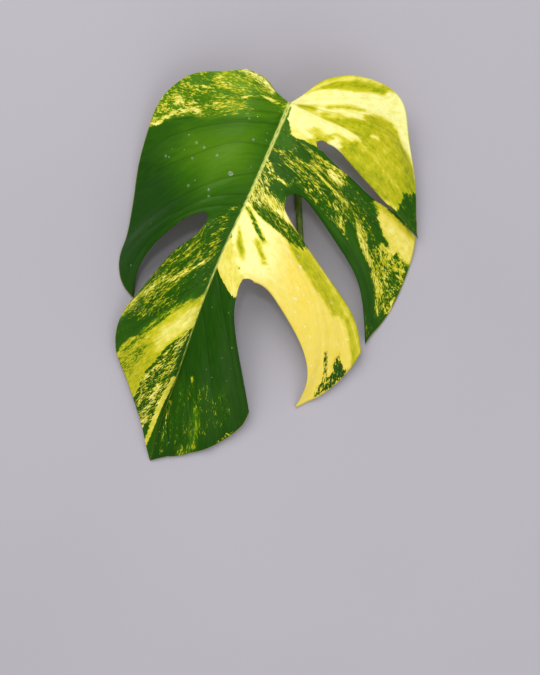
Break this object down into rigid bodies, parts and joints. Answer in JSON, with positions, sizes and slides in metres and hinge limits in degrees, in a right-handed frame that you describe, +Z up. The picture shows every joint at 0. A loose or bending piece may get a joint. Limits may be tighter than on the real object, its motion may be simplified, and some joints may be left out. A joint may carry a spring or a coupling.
{
  "type": "variegated monstera leaf",
  "caption": "Split monstera leaf marbled in green, lime and cream, arched with drooping lobes, lying upper side up on its lobe ends and the round stalk bent back beneath it",
  "frame": {"origin": "middle of the footprint of the leaf's box, on the surface that it lies on", "axes": "+Z up from the surface, -Y towards the leaf's tip and +Y towards its base, +X to the right seen from above with the tip nearest"},
  "size_m": [0.198, 0.2902, 0.0437],
  "materials": {
    "leaf_blade": "glossy waxy upper side, dark green marbled with lime and cream along the side veins; paler and duller below",
    "petiole": "smooth satin green stalk with faint pale streaks",
    "water_drops": "clear water beads"
  },
  "bodies": {
    "root": {"leaf_blade": "leaf_blade", "petiole": "petiole"}
  },
  "joints": []
}
